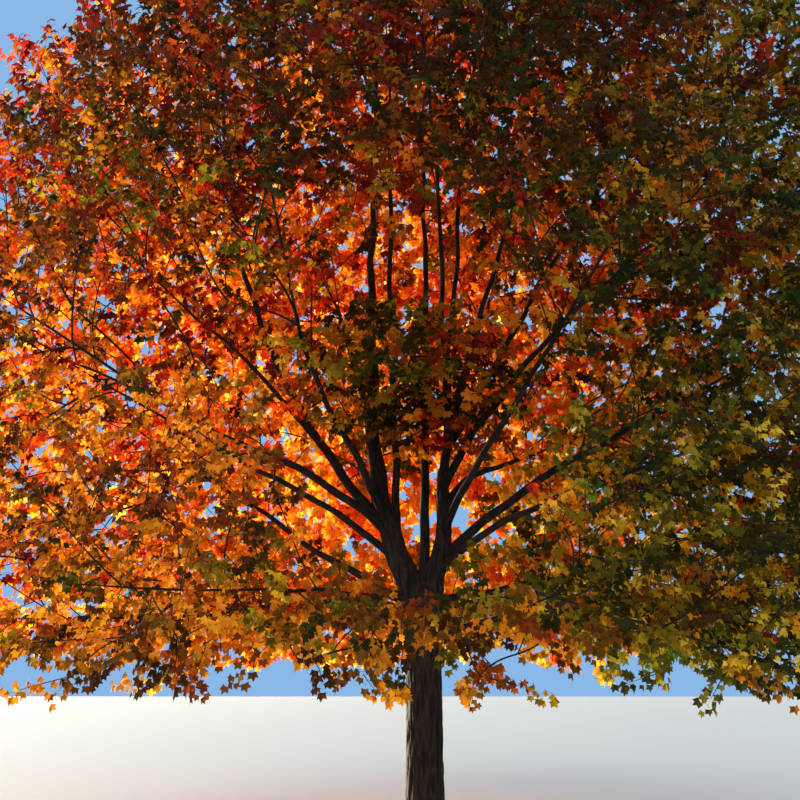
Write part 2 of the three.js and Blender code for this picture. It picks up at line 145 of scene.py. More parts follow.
# Boughs: what each grows from and at what height, its turn, how far its tip lies from the trunk's
# axis and how high, how steeply it leaves and arrives in degrees above level, its foot radius,
# and the tint of the mass that it carries
BOUGHS = [
    ("stem_middle", "trunk", 2.7, 84, 0.85, 9.0, 78, 84, 0.062, "leaf_red"),
    ("stem_second", "leader_left", 3.15, 240, 0.82, 8.9, 84, 86, 0.05, "leaf_bronze"),
    ("bough_left_high", "leader_left", 3.42, 170, 2.67, 8.19, 48, 82, 0.064, "leaf_red"),
    ("bough_left_outer", "bough_left_high", 4.48, 186, 2.92, 6.14, 46, 36, 0.038, "leaf_crimson"),
    ("bough_left_long", "leader_left", 3.33, 211, 3.3, 4.55, 44, 27, 0.054, "leaf_orange"),
    ("bough_left_mid", "leader_left", 3.02, 188, 3.0, 4.66, 46, 30, 0.046, "leaf_amber"),
    ("bough_left_back", "trunk", 2.5, 162, 3.0, 4.35, 26, 31, 0.052, "leaf_orange"),
    ("bough_left_low", "trunk", 2.73, 199, 2.8, 2.38, -5, -2, 0.036, "leaf_amber"),
    ("bough_front_left", "leader_left", 3.55, 230, 2.15, 5.5, 44, 64, 0.05, "leaf_olive"),
    ("bough_front_left_low", "trunk", 2.25, 238, 2.7, 2.5, 30, -8, 0.038, "leaf_amber"),
    ("bough_front_right_low", "trunk", 2.12, 293, 2.7, 2.4, 30, -8, 0.038, "leaf_amber"),
    ("bough_front_right", "leader_right", 3.42, 306, 2.5, 5.3, 50, 36, 0.048, "leaf_olive"),
    ("bough_front_high", "leader_right", 4.7, 273, 2.3, 7.1, 56, 36, 0.044, "leaf_bronze"),
    ("bough_right_main", "leader_right", 3.06, 352, 2.95, 4.82, 44, 26, 0.062, "leaf_olive"),
    ("bough_right_front", "leader_right", 2.9, 325, 2.95, 3.85, 42, 10, 0.048, "leaf_green"),
    ("bough_right_back", "trunk", 2.6, 22, 3.0, 3.36, 12, 26, 0.046, "leaf_green"),
    ("bough_right_low", "trunk", 2.2, 342, 2.9, 2.4, 20, -5, 0.04, "leaf_olive"),
    ("bough_right_upper", "leader_right", 3.95, 346, 2.8, 6.8, 62, 38, 0.05, "leaf_yellow"),
    ("bough_right_inner", "leader_right", 4.25, 325, 1.65, 8.0, 72, 66, 0.046, "leaf_bronze"),
    ("bough_right_high", "leader_right", 4.42, 12, 2.5, 8.15, 58, 54, 0.048, "leaf_olive"),
    ("bough_back_right_low", "trunk", 2.38, 50, 2.95, 2.7, 26, -4, 0.04, "leaf_green"),
    ("bough_back_low", "trunk", 2.3, 94, 2.95, 2.68, 30, -4, 0.042, "leaf_yellow"),
    ("bough_back_left_low", "trunk", 2.42, 140, 2.95, 2.7, 26, -4, 0.042, "leaf_amber"),
    ("bough_back_right", "leader_right", 3.7, 52, 2.85, 4.95, 46, 20, 0.05, "leaf_olive"),
    ("bough_back_left", "leader_left", 3.5, 112, 2.85, 5.0, 46, 20, 0.052, "leaf_orange"),
    ("bough_back_right_high", "leader_right", 4.6, 62, 2.35, 7.35, 58, 44, 0.046, "leaf_yellow"),
    ("bough_back_left_high", "leader_left", 4.5, 124, 2.35, 7.35, 60, 44, 0.048, "leaf_red"),
]

# Masses
CELL_MARGIN = 0.006
MASS_REACH = 2.9
MASS_AHEAD = 1.15
MASS_RISE_LOW = 1.6
MASS_RISE_HIGH = 2.3
LOW_TIP = 2.7
HIGH_TIP = 4.6
INNER_MASS = "foliage_inner"
INNER_HEIGHT = 4.7
INNER_TURN = 292
INNER_CLIMB = 20
INNER_AHEAD = 1.05
INNER_REACH = 1.5
INNER_RISE = 0.85
INNER_STEM = 0.024

# Growth: each level of twigs is finer and closer together than the one before. A row gives the
# least distance between twig ends, how far they are drawn back towards the mass's middle, as a
# share, and the spacing of the points along a twig.
LEVELS = [(0.9, 0.26, 0.14), (0.52, 0.1, 0.14), (0.262, 0.0, 0.26)]
SEED = 101
SEED_STEP = 17
DARTS = 15000
DETOUR = 0.45  # what a step along the branches costs a twig, against a step of its own
LIMB_OPEN = 0.28  # twigs leave a limb past this share of its length
LIMB_SPACING = 0.14
SHORTEST_TWIG = 0.05
STEM_STRAY = 0.15
STEM_SHARES = np.arange(1, 0.1, -0.05)  # a mass's stem reaches for its far side, or else less far
LEAVE_PULL = 0.55
LEAVE_LIFT = 0.1
ARRIVE_DROP = 0.12
ARRIVE_STRAY = 0.25
TWIG_RADIUS = 0.0038
BRANCH_RADIUS = 0.0095  # from this radius at its foot a twig counts as a branch
BRANCH_SIDES = 6
TWIG_SIDES = 3
SHELL_DEPTH = 1.7  # how deep the leafy shell of the crown is
SHELL_FLOOR = 1.5  # how much thinner it is at the crown's underside
SHELL_LEAST = 0.24  # share of the darts that are kept in the open inside
SHEET_SPACING = 0.62  # leaves lie in drifts, one above the other
SHEET_LEAST = 0.38
SHEET_WAVE = 0.9
SHEET_SLOPE = 0.3
DRIFT_SIZE = 2.8

# Leaves: each lobe's tip and notch, as degrees from the midrib and distance from the stalk. A least
# is the share of a size that is sure, and a range is what chance adds.
FIVE_LOBES = [(106, 0.54), (76, 0.48), (48, 0.84), (24, 0.61), (0, 1.0)]
THREE_LOBES = [(104, 0.54), (48, 0.82), (24, 0.59), (0, 1.0)]
LEAF_SIZE = 0.09
LEAF_LEAST = 0.75
LEAF_RANGE = 0.45
LEAF_FOLD = 0.42
LEAF_CURL = 0.55
CURL_LEAST = 0.5
CURL_RANGE = 1.0
LEAF_DROOP = 0.5
DROOP_RANGE = 1.2
FACING_OUT = 0.65  # how much a leaf faces outwards, upwards and anywhere
FACING_UP = 0.6
FACING_STRAY = 1.5
FACING_LIFT = 0.001  # gives a leaf on the trunk's axis an outwards of its own
STALK_LENGTH = 0.05
STALK_LEAST = 0.6
STALK_RANGE = 0.8
STALK_LIFT = 0.2
STALK_WIDTH = 0.0035
PAIR_ANGLE = 62
ANGLE_STRAY = 44

# Leaves at several distances from the eye: their scale, the gap from pair to pair, the pairs of a
# spray and the share of leaves with five lobes. Farther off they are larger than life, simpler
# and fewer.
EYE = (-0.27, -10.5, 1.6)
DISTANCES = (5.5, 8.0, 11.0, 14.5)
SCALES = (0.52, 0.69, 0.96, 1.27)
PAIR_GAPS = (0.028, 0.04, 0.057, 0.075)
PAIRS = (10, 7, 4, 3)
SPRAY_SHARE = 0.9  # how far back along its twig a spray reaches at most
FIVE_LOBED = (0.85, 0.6, 0.3, 0.2)

UP = np.array([0.0, 0.0, 1.0])


def outwards(turn):
    """The level direction at a turn."""
    return np.array([math.cos(math.radians(turn)), math.sin(math.radians(turn)), 0.0])


def sloping(turn, climb):
    """The direction at a turn that climbs this many degrees above level."""
    return outwards(turn) * math.cos(math.radians(climb)) + UP * math.sin(math.radians(climb))


def unit(vectors):
    return vectors / np.linalg.norm(vectors, axis=-1, keepdims=True)


def smoothstep(value, low, high):
    share = np.clip((value - low) / (high - low), 0, 1)
    return share * share * (3 - 2 * share)


# Limbs


class Path:
    """A curve through space, read by the share of its length."""

    def __init__(self, points):
        self.points = np.asarray(points, float)
        steps = np.linalg.norm(np.diff(self.points, axis=0), axis=1)
        self.walked = np.concatenate([[0], np.cumsum(steps)])
        self.length = self.walked[-1]

    def at(self, share):
        walked = np.asarray(share) * self.length
        return np.stack([np.interp(walked, self.walked, axis) for axis in self.points.T], axis=-1)

    def heading(self, share):
        step = 1 / PATH_STEPS
        return unit(self.at(np.minimum(share + step, 1)) - self.at(np.maximum(share - step, 0)))

    def share_at_height(self, height):
        return np.interp(height, self.points[:, 2], self.walked) / self.length


def through(knots):
    """A smooth curve through points: a centripetal Catmull-Rom spline."""
    knots = np.asarray(knots, float)
    knots = np.vstack([2 * knots[0] - knots[1], knots, 2 * knots[-1] - knots[-2]])
    pieces = []
    share = np.linspace(0, 1, KNOT_STEPS, endpoint=False)[:, None]
    for a, b, c, d in zip(knots, knots[1:], knots[2:], knots[3:]):
        gaps = [math.sqrt(np.linalg.norm(q - p)) for p, q in ((a, b), (b, c), (c, d))]
        leave = (b - a) / gaps[0] - (c - a) / (gaps[0] + gaps[1]) + (c - b) / gaps[1]
        arrive = (c - b) / gaps[1] - (d - b) / (gaps[1] + gaps[2]) + (d - c) / gaps[2]
        leave = leave * gaps[1]
        arrive = arrive * gaps[1]
        cubic = 2 * b - 2 * c + leave + arrive
        square = -3 * b + 3 * c - 2 * leave - arrive
        pieces.append(b + leave * share + square * share**2 + cubic * share**3)
    return Path(np.vstack(pieces + [knots[-2:-1]]))


def bent(start, leave, arrive, end):
    """A cubic curve from start to end with two handles."""
    share = np.linspace(0, 1, PATH_STEPS)[:, None]
    rest = 1 - share
    middle = 3 * rest**2 * share * leave + 3 * rest * share**2 * arrive
    return Path(rest**3 * start + middle + share**3 * end)


def sway_at(walked, seed):
    """How a limb strays from its curve, as a share of SWAY along each axis."""
    along = walked / SWAY_LENGTH
    axes = [SWAY_AXIS_STEP * axis + SWAY_START for axis in range(3)]
    return [noise.noise(Vector((along, SWAY_SEED_STEP * seed, axis))) for axis in axes]


def swaying(path, seed):
    """The same path with the small bends of grown wood, none of them at its foot."""
    shares = np.linspace(0, 1, PATH_STEPS)
    walked = shares * path.length
    sways = np.array([sway_at(step, seed) for step in walked])
    return Path(path.at(shares) + SWAY * sways * smoothstep(walked, 0, 2 * SWAY_LENGTH)[:, None])


class Limb:
    """A leader, a stem or a bough. Its seat is how far its foot lies inside its parent."""

    def __init__(self, name, path, foot, tip, taper, tint, seat):
        self.name = name
        self.path = path
        self.foot = foot
        self.tip = tip
        self.taper = taper
        self.tint = tint
        self.seat = seat

    def radius(self, share):
        return self.tip + (self.foot - self.tip) * (1 - np.asarray(share)) ** self.taper

    def barked_radius(self, share):
        """The radius with the swelling of the collar, just outside the parent that it grows from."""
        beyond = np.maximum(np.asarray(share) * self.path.length - self.seat, 0)
        return self.radius(share) * (1 + COLLAR * np.exp(-beyond / COLLAR_LENGTH))


def make_limbs():
    limbs = {}
    for name, (knots, foot, tip, taper, tint) in LEADERS.items():
        limbs[name] = Limb(name, swaying(through(knots), len(limbs)), foot, tip, taper, tint, 0)
    bole = Limb("trunk", Path([(0, 0, 0), (0, 0, FORK_HEIGHT)]), TRUNK_RADIUS, TRUNK_RADIUS, 1, None, 0)
    for name, parent, height, turn, reach, rise, leave, arrive, foot, tint in BOUGHS:
        carrier = limbs.get(parent, bole)
        share = carrier.path.share_at_height(height)
        start = carrier.path.at(share)
        end = outwards(turn) * reach + UP * rise
        facing = math.degrees(math.atan2(end[1] - start[1], end[0] - start[0]))
        handle = np.linalg.norm(end - start) * HANDLE
        leaving = start + sloping(facing, leave) * handle
        arriving = end - sloping(facing, arrive) * handle
        path = swaying(bent(start, leaving, arriving, end), len(limbs))
        limbs[name] = Limb(name, path, foot, foot * TIP_SHARE, BOUGH_TAPER, tint, carrier.radius(share))
    return limbs


# The crown's space


def crown_radius(height):
    """The crown's radius at a height, tucked in a little at its skirt and rounded over its top."""
    tuck = SKIRT_TUCK * ((CROWN_WAIST - height) / (CROWN_WAIST - SKIRT_HEIGHT)) ** 2
    share = np.clip((height - CROWN_WAIST) / (CROWN_TOP - CROWN_WAIST), 0, 1)
    upper = (1 - share**ROUNDING_POWER) ** ROUNDING_ROOT
    return CROWN_RADIUS * np.where(height < CROWN_WAIST, 1 - tuck, upper)


def underside(radius):
    """The height of the crown's hollow underside at a distance from the trunk's axis."""
    return SKIRT_HEIGHT + SKIRT_RISE * np.clip(1 - radius / CROWN_RADIUS, 0, 1) ** SKIRT_POWER


def in_window(points):
    """Which points lie in the bare middle of the crown's opening."""
    x, depth, z = points[:, 0], -points[:, 1], points[:, 2]
    wide = (depth > WINDOW_DEPTH) & (np.abs(x - WINDOW_MIDDLE) < WINDOW_HALF_WIDTH)
    return wide & (z > WINDOW_LOW) & (z < WINDOW_HIGH + WINDOW_RISE * (CROWN_RADIUS - depth))


class Mass:
    """A mass of foliage at a limb's tip: a flattened ball, cut back where others lie nearer."""

    def __init__(self, name, limb, foot, heading, ahead, reach, rise, stem_radius, tint):
        self.name = name
        self.limb = limb
        self.foot = foot
        self.heading = heading
        self.ahead = ahead
        self.reach = reach
        self.rise = rise
        self.stem_radius = stem_radius
        self.tint = tint
        self.middle = foot + heading * ahead


def mass_name(limb_name):
    kind, _, place = limb_name.partition("_")
    return ("foliage_top_" if kind == "leader" else "foliage_") + place


def make_masses(limbs):
    masses = []
    for limb in limbs.values():
        foot = limb.path.at(1)
        share = np.clip((foot[2] - LOW_TIP) / (HIGH_TIP - LOW_TIP), 0, 1)
        rise = MASS_RISE_LOW + (MASS_RISE_HIGH - MASS_RISE_LOW) * share
        heading = limb.path.heading(1)
        sizes = (MASS_AHEAD, MASS_REACH, rise, limb.radius(1))
        masses.append(Mass(mass_name(limb.name), limb, foot, heading, *sizes, limb.tint))
    axis = limbs["leader_left"].path
    foot = axis.at(axis.share_at_height(INNER_HEIGHT))
    sizes = (INNER_AHEAD, INNER_REACH, INNER_RISE, INNER_STEM)
    heading = sloping(INNER_TURN, INNER_CLIMB)
    masses.append(Mass(INNER_MASS, None, foot, heading, *sizes, "leaf_bronze"))
    return masses


def in_space(points, mass, masses):
    """Which points lie in the crown and in this mass's own cell of it."""
    radius = np.hypot(points[:, 0], points[:, 1])
    inside = (radius < crown_radius(points[:, 2])) & (points[:, 2] > underside(radius))
    if mass.name != INNER_MASS:
        inside &= ~in_window(points)
    away = points - mass.middle
    flat = np.hypot(away[:, 0], away[:, 1]) / mass.reach
    inside &= flat**2 + (away[:, 2] / mass.rise) ** 2 < 1
    for other in masses:
        if other is not mass:
            apart = other.middle - mass.middle
            distance = np.linalg.norm(apart)
            inside &= away @ (apart / distance) < distance / 2 - CELL_MARGIN
    return inside


def openness(points):
    """How open the crown stands round its window at -Y: 1 in the middle, 0 well away from it."""
    inward = CROWN_RADIUS + points[:, 1]
    aside = np.abs(points[:, 0] - OPENING_MIDDLE)
    across = 1 - smoothstep(aside / (OPENING_HALF_WIDTH + OPENING_SPREAD * inward), *OPENING_EDGE)
    high = WINDOW_HIGH + WINDOW_RISE * inward - OPENING_SLANT * aside
    over = 1 - smoothstep(points[:, 2], high, high + OPENING_ABOVE)
    under = smoothstep(points[:, 2], WINDOW_LOW - OPENING_BELOW, WINDOW_LOW + OPENING_RISE)
    return across * under * over * smoothstep(-points[:, 1], *OPENING_DEPTHS)


def leafiness(points):
    """How likely a dart is kept: more in the crown's outer shell, and in drifts of leaves."""
    radius = np.hypot(points[:, 0], points[:, 1])
    depth = crown_radius(points[:, 2]) - radius
    below = points[:, 2] - underside(radius)
    shell = np.exp(-((np.minimum(depth, SHELL_FLOOR * below) / SHELL_DEPTH) ** 2))
    wave = np.array([noise.noise(Vector(p / DRIFT_SIZE)) for p in points])
    phase = (points[:, 2] + SHEET_SLOPE * radius + SHEET_WAVE * wave) / SHEET_SPACING
    sheet = 0.5 + 0.5 * np.cos(2 * math.pi * phase)
    folds = np.array([noise.noise(Vector((x, y, HEM_LEVEL)) / HEM_SPACING) for x, y, z in points])
    hem = HEM_RISE * np.maximum(folds, 0) + HEM_BACK * smoothstep(points[:, 1], *HEM_DEPTHS)
    thick = SHELL_LEAST + (1 - SHELL_LEAST) * shell
    thick = thick * (1 - (1 - OPENING_KEPT) * openness(points))
    return thick * (below > hem) * (SHEET_LEAST + (1 - SHEET_LEAST) * sheet)


# Growth


def dart_ends(mass, masses, rng, spacing, draw):
    """Seeded points in a mass's space that keep their distance from each other."""
    size = np.array([mass.reach, mass.reach, mass.rise])
    darts = mass.middle + (2 * rng.random((DARTS, 3)) - 1) * size
    darts = darts[in_space(darts, mass, masses)]
    if mass.name != INNER_MASS:
        darts = darts[rng.random(len(darts)) < leafiness(darts)]
    ends = np.empty((0, 3))
    for end in darts + (mass.middle - darts) * draw:
        if len(ends) == 0 or np.min(np.sum((ends - end) ** 2, axis=1)) > spacing**2:
            ends = np.vstack([ends, end])
    return ends


class Wood:
    """The branches of one mass: nodes that know what they grow from, and the line of each twig."""

    def __init__(self, mass):
        self.mass = mass
        self.places = []
        self.walks = []
        self.parents = []
        self.headings = []
        self.twigs = []

    def add(self, place, parent, heading):
        walk = 0.0
        if parent is not None:
            walk = self.walks[parent] + float(np.linalg.norm(place - self.places[parent]))
        self.places.append(place)
        self.walks.append(walk)
        self.parents.append(parent)
        self.headings.append(heading)
        return len(self.places) - 1

    def add_path(self, path, parent, spacing):
        """Nodes along a path, from just past its start to its end."""
        steps = max(1, round(path.length / spacing))
        line = [parent]
        for i in range(1, steps + 1):
            line.append(self.add(path.at(i / steps), line[-1], path.heading(i / steps)))
        return line

    def grow_to(self, end, rng, spacing):
        """A twig to this end, from the branch that it is least far from, the way along it counted."""
        cost = np.linalg.norm(np.array(self.places) - end, axis=1) + DETOUR * np.array(self.walks)
        start = int(np.argmin(cost))
        way = end - self.places[start]
        distance = np.linalg.norm(way)
        if distance < SHORTEST_TWIG:
            return
        leave = unit(LEAVE_PULL * self.headings[start] + way / distance + LEAVE_LIFT * UP)
        arrive = unit(way / distance - ARRIVE_DROP * UP + ARRIVE_STRAY * (rng.random(3) - 0.5))
        foot = self.places[start]
        path = bent(foot, foot + leave * distance * HANDLE, end - arrive * distance * HANDLE, end)
        self.twigs.append(self.add_path(path, start, spacing))

    def radii(self):
        """Each node's radius, by the number of twigs that it carries, up to the stem's own."""
        load = np.zeros(len(self.places))
        for line in self.twigs:
            load[line[-1]] += 1
        for i in range(len(load) - 1, 0, -1):
            if self.parents[i] is not None:
                load[self.parents[i]] += load[i]
        power = math.log(self.mass.stem_radius / TWIG_RADIUS) / math.log(load[0])
        return TWIG_RADIUS * np.maximum(load, 1) ** power


def grow(mass, masses, seed):
    """The branches and twigs of a mass: a stem through its middle and, from it and the limb, the rest."""
    rng = np.random.default_rng(seed)
    wood = Wood(mass)
    if mass.limb is None:
        wood.add(mass.foot, None, mass.heading)
    else:
        path = mass.limb.path
        wood.add(path.at(LIMB_OPEN), None, path.heading(LIMB_OPEN))
        outer = Path(path.at(np.linspace(LIMB_OPEN, 1, PATH_STEPS)))
        wood.add_path(outer, 0, LIMB_SPACING)
    foot = len(wood.places) - 1
    for share in STEM_SHARES:
        end = mass.foot + mass.heading * 2 * mass.ahead * share
        if in_space(end[None], mass, masses)[0]:
            break
    middle = (mass.foot + end) / 2
    stem = bent(mass.foot, middle, middle, end + STEM_STRAY * (rng.random(3) - 0.5))
    wood.twigs.append(wood.add_path(stem, foot, LEVELS[0][2]))
    for spacing, draw, step in LEVELS:
        ends = dart_ends(mass, masses, rng, spacing, draw)
        away = np.linalg.norm(ends - mass.foot, axis=1)
        for end in ends[np.argsort(away)]:
            wood.grow_to(end, rng, step)
    return wood


# Wood meshes

PARALLEL = 1e-3  # two directions this near to one line have no sure square to them


def joined_mesh(name, parts, smooth):
    """One mesh from several arrays of vertices and of triangles."""
    counts = np.cumsum([0] + [len(vertices) for vertices, _ in parts])
    vertices = np.vstack([vertices for vertices, _ in parts])
    faces = np.vstack([faces + count for (_, faces), count in zip(parts, counts)])
    mesh = bpy.data.meshes.new(name)
    mesh.from_pydata(vertices.tolist(), [], faces.tolist())
    mesh.polygons.foreach_set("use_smooth", [smooth] * len(mesh.polygons))
    mesh.update()
    return mesh


def frames_along(headings):
    """Two directions across each step of a line, turned as little as can be from one to the next."""
    across = np.array([0.0, 1.0, 0.0])
    firsts = []
    for heading in headings:
        across = across - heading * (across @ heading)
        if np.linalg.norm(across) < PARALLEL:
            across = np.array([1.0, 0.0, 0.0]) - heading * heading[0]
        across = across / np.linalg.norm(across)
        firsts.append(across)
    firsts = np.array(firsts)
    return firsts, np.cross(headings, firsts)


FURROW_WIDTH = 0.038
FURROW_LENGTH = 0.27
FURROW_SHARE = 0.07  # how deep the furrows are, as a share of the limb's radius, and at most
FURROW_DEPTH = 0.013
FURROW_SHARPNESS = 2.4
LEAST_RINGS = 4
WELD = 1e-5


def ridge(grain):
    """The bark's pattern at a point of a straightened limb: 1 on a ridge, 0 or less in a furrow."""
    stretched = Vector((grain.x / FURROW_WIDTH, grain.y / FURROW_WIDTH, grain.z / FURROW_LENGTH))
    return 1 - FURROW_SHARPNESS * abs(noise.noise(stretched))


def rolled(shape, sides, rings, place):
    """A sheet rolled into a closed tube in a bmesh, each vertex put where place(ring, angle) says."""
    grid = bmesh.ops.create_grid(shape, x_segments=sides, y_segments=rings - 1, size=0.5)
    for vertex in grid["verts"]:
        ring = round((vertex.co.y + 0.5) * (rings - 1))
        place(vertex, ring, 2 * math.pi * vertex.co.x)
    bmesh.ops.remove_doubles(shape, verts=grid["verts"], dist=WELD)
    open_edges = [edge for edge in shape.edges if edge.is_boundary]
    bmesh.ops.holes_fill(shape, edges=open_edges, sides=0)


def bark_mesh(name, shape):
    """The finished mesh of a barked piece."""
    bmesh.ops.recalc_face_normals(shape, faces=shape.faces)
    mesh = bpy.data.meshes.new(name)
    shape.to_mesh(mesh)
    shape.free()
    mesh.shade_smooth()
    return mesh


def add_tube(shape, limb, start, stop, sides, spacing, place_vertex):
    """A closed tube along part of a limb, each vertex put by place_vertex."""
    rings = max(LEAST_RINGS, round(limb.path.length * (stop - start) / spacing))
    shares = np.linspace(start, stop, rings)
    points = limb.path.at(shares)
    firsts, seconds = frames_along(limb.path.heading(shares))
    radii = limb.barked_radius(shares)

    def place(vertex, ring, angle):
        radius = radii[ring]
        out = firsts[ring] * math.cos(angle) + seconds[ring] * math.sin(angle)
        along = shares[ring] * limb.path.length
        straight = Vector((radius * math.cos(angle), radius * math.sin(angle), along))
        place_vertex(vertex, points[ring], out, radius, straight)

    rolled(shape, sides, rings, place)


def limb_bark(limb, start, sides, spacing):
    """A limb's skin, with the relief of its bark and the grain and ridges for its colour."""
    shape = bmesh.new()
    grain_layer = shape.verts.layers.float_vector.new("grain")
    ridge_layer = shape.verts.layers.float.new("ridge")

    def place(vertex, middle, out, radius, straight):
        height = ridge(straight)
        vertex.co = middle + out * (radius + height * min(FURROW_DEPTH, radius * FURROW_SHARE))
        vertex[grain_layer] = straight
        vertex[ridge_layer] = height

    add_tube(shape, limb, start, 1, sides, spacing, place)
    return bark_mesh("bark_" + limb.name, shape)


BOLE_SIDES = 64
BOLE_RINGS = 120
LEADER_SIDES = 32
LIMB_SIDES = 14
RING_SPACING = 0.03


def bole_radius(height, angle):
    """The bole's radius with its flare, ridged where the main roots run out."""
    flare = math.exp(-max(height, 0) / FLARE_HEIGHT)
    ridges = 1 + ROOT_RIDGE * flare * math.cos(ROOTS * angle + ROOT_TURN)
    taper = 1 + TRUNK_TAPER * (TAPER_MIDDLE - min(1, height / TAPER_HEIGHT))
    return TRUNK_RADIUS * (taper + FLARE * flare) * ridges


def skin_of(shape):
    """One even skin round everything in a bmesh."""
    mesh = bpy.data.meshes.new("core")
    shape.to_mesh(mesh)
    shape.free()
    core = bpy.data.objects.new("core", mesh)
    bpy.context.scene.collection.objects.link(core)
    modifier = core.modifiers.new("skin", "REMESH")
    modifier.mode = "VOXEL"
    modifier.voxel_size = SKIN_VOXEL
    skin = bmesh.new()
    skin.from_object(core, bpy.context.evaluated_depsgraph_get())
    bpy.data.objects.remove(core)
    bpy.data.meshes.remove(mesh)
    return skin


def trunk_bark(limbs):
    """The bole and the lower part of both leaders under one skin, cut flat at ground level."""
    shape = bmesh.new()
    heights = np.linspace(-CUT_MARGIN, CROTCH_TOP, BOLE_RINGS)

    def place(vertex, ring, angle):
        height = heights[ring]
        closing = max(0, height - CROTCH_START) / (CROTCH_TOP - CROTCH_START)
        radius = bole_radius(height, angle) * math.sqrt(1 - closing**2)
        spread = 1 + FORK_SPREAD * smoothstep(height, SPREAD_HEIGHT, FORK_HEIGHT)
        vertex.co = (radius * math.cos(angle) * spread, -radius * math.sin(angle), height)

    def place_plain(vertex, middle, out, radius, straight):
        vertex.co = middle + out * radius

    rolled(shape, BOLE_SIDES, BOLE_RINGS, place)
    for name in LEADERS:
        stop = limbs[name].path.share_at_height(TRUNK_TOP)
        add_tube(shape, limbs[name], 0, stop, LEADER_SIDES, RING_SPACING, place_plain)
    bmesh.ops.recalc_face_normals(shape, faces=shape.faces)
    skin = skin_of(shape)
    axes = {"use_axis_x": True, "use_axis_y": True, "use_axis_z": True}
    for _ in range(SKIN_SMOOTHING):
        bmesh.ops.smooth_vert(skin, verts=skin.verts, factor=0.5, **axes)
    skin.normal_update()
    grain_layer = skin.verts.layers.float_vector.new("grain")
    ridge_layer = skin.verts.layers.float.new("ridge")
    for vertex in skin.verts:
        height = ridge(vertex.co)
        vertex[grain_layer] = vertex.co
        vertex[ridge_layer] = height
        vertex.co += vertex.normal * height * FURROW_DEPTH
    everything = skin.verts[:] + skin.edges[:] + skin.faces[:]
    bmesh.ops.bisect_plane(skin, geom=everything, plane_co=(0, 0, 0), plane_no=(0, 0, 1), clear_inner=True)
    bmesh.ops.holes_fill(skin, edges=[edge for edge in skin.edges if edge.is_boundary], sides=0)
    return bark_mesh("bark_trunk", skin)


def twig_arrays(points, thick, sides):
    """A tapering twig through its nodes, closed at its foot and brought to a point at its tip."""
    headings = unit(np.gradient(points, axis=0))
    firsts, seconds = frames_along(headings[:-1])
    angles = 2 * np.pi * np.arange(sides) / sides
    ring = np.cos(angles)[:, None, None] * firsts + np.sin(angles)[:, None, None] * seconds
    rings = (points[:-1] + ring * thick[:-1, None]).transpose(1, 0, 2).reshape(-1, 3)
    vertices = np.vstack([rings, points[-1:]])
    tip = len(vertices) - 1
    faces = [(0, k + 1, k) for k in range(1, sides - 1)]
    for low in range(0, tip, sides):
        for k in range(sides):
            a, b = low + k, low + (k + 1) % sides
            if low + sides == tip:
                faces.append((a, b, tip))
            else:
                faces.append((a, b, b + sides))
                faces.append((a, b + sides, a + sides))
    return vertices, np.array(faces)


def twig_parts(wood):
    """The arrays of a mass's branches, and those of its finer twigs."""
    places = np.array(wood.places)
    radii = wood.radii()
    branches, twigs = [], []
    for line in wood.twigs:
        thick = radii[line]
        thick[0] = thick[1]
        if thick[0] > BRANCH_RADIUS:
            branches.append(twig_arrays(places[line], thick, BRANCH_SIDES))
        else:
            twigs.append(twig_arrays(places[line], thick, TWIG_SIDES))
    return branches, twigs


# Leaves


def leaf_template(lobes):
    """One blade: a fan of faces from the stalk's end out to the lobes, folded along its midrib."""
    rim = [(-turn, far) for turn, far in lobes] + lobes[-2::-1]
    shape = bmesh.new()
    foot = shape.verts.new((0, 0, 0))
    outline = []
    for turn, far in rim:
        across = far * math.sin(math.radians(turn))
        along = far * math.cos(math.radians(turn))
        sag = LEAF_FOLD * abs(across) + LEAF_CURL * far**2 / 2
        outline.append(shape.verts.new((across, along, -sag)))
    for a, b in zip(outline, outline[1:]):
        shape.faces.new((foot, b, a))
    shape.verts.index_update()
    vertices = np.array([vertex.co[:] for vertex in shape.verts])
    faces = np.array([[vertex.index for vertex in face.verts] for face in shape.faces])
    shape.free()
    return vertices, faces


def at_distance(places, values):
    """The value for each place's distance from the eye, out of those for DISTANCES."""
    return np.interp(np.linalg.norm(places - EYE, axis=-1), DISTANCES, values)


def spray_leaves(wood, rng):
    """Where the leaves of a mass sit: each one's foot, heading, facing and the spray that it is in."""
    places = np.array(wood.places)
    leaves = []
    for spray, line in enumerate(wood.twigs):
        path = Path(places[line])
        gap = at_distance(places[line[-1]], PAIR_GAPS)
        for pair in range(round(at_distance(places[line[-1]], PAIRS)) + 1):
            back = pair * gap / path.length
            if back > SPRAY_SHARE:
                break
            foot = path.at(1 - back)
            way = path.heading(1 - back)
            outward = unit(np.array([foot[0], foot[1], FACING_LIFT]))
            facing = unit(FACING_OUT * outward + FACING_UP * UP + FACING_STRAY * (rng.random(3) - 0.5))
            across = np.cross(facing, way)
            for side in (1, -1) if pair else (0,):
                swing = math.radians(side * PAIR_ANGLE + ANGLE_STRAY * (rng.random() - 0.5))
                heading = unit(way * math.cos(swing) + across * math.sin(swing))
                leaves.append((foot, heading, facing, spray))
    feet, headings, facings, sprays = zip(*leaves)
    return np.array(feet), np.array(headings), np.array(facings), np.array(sprays)


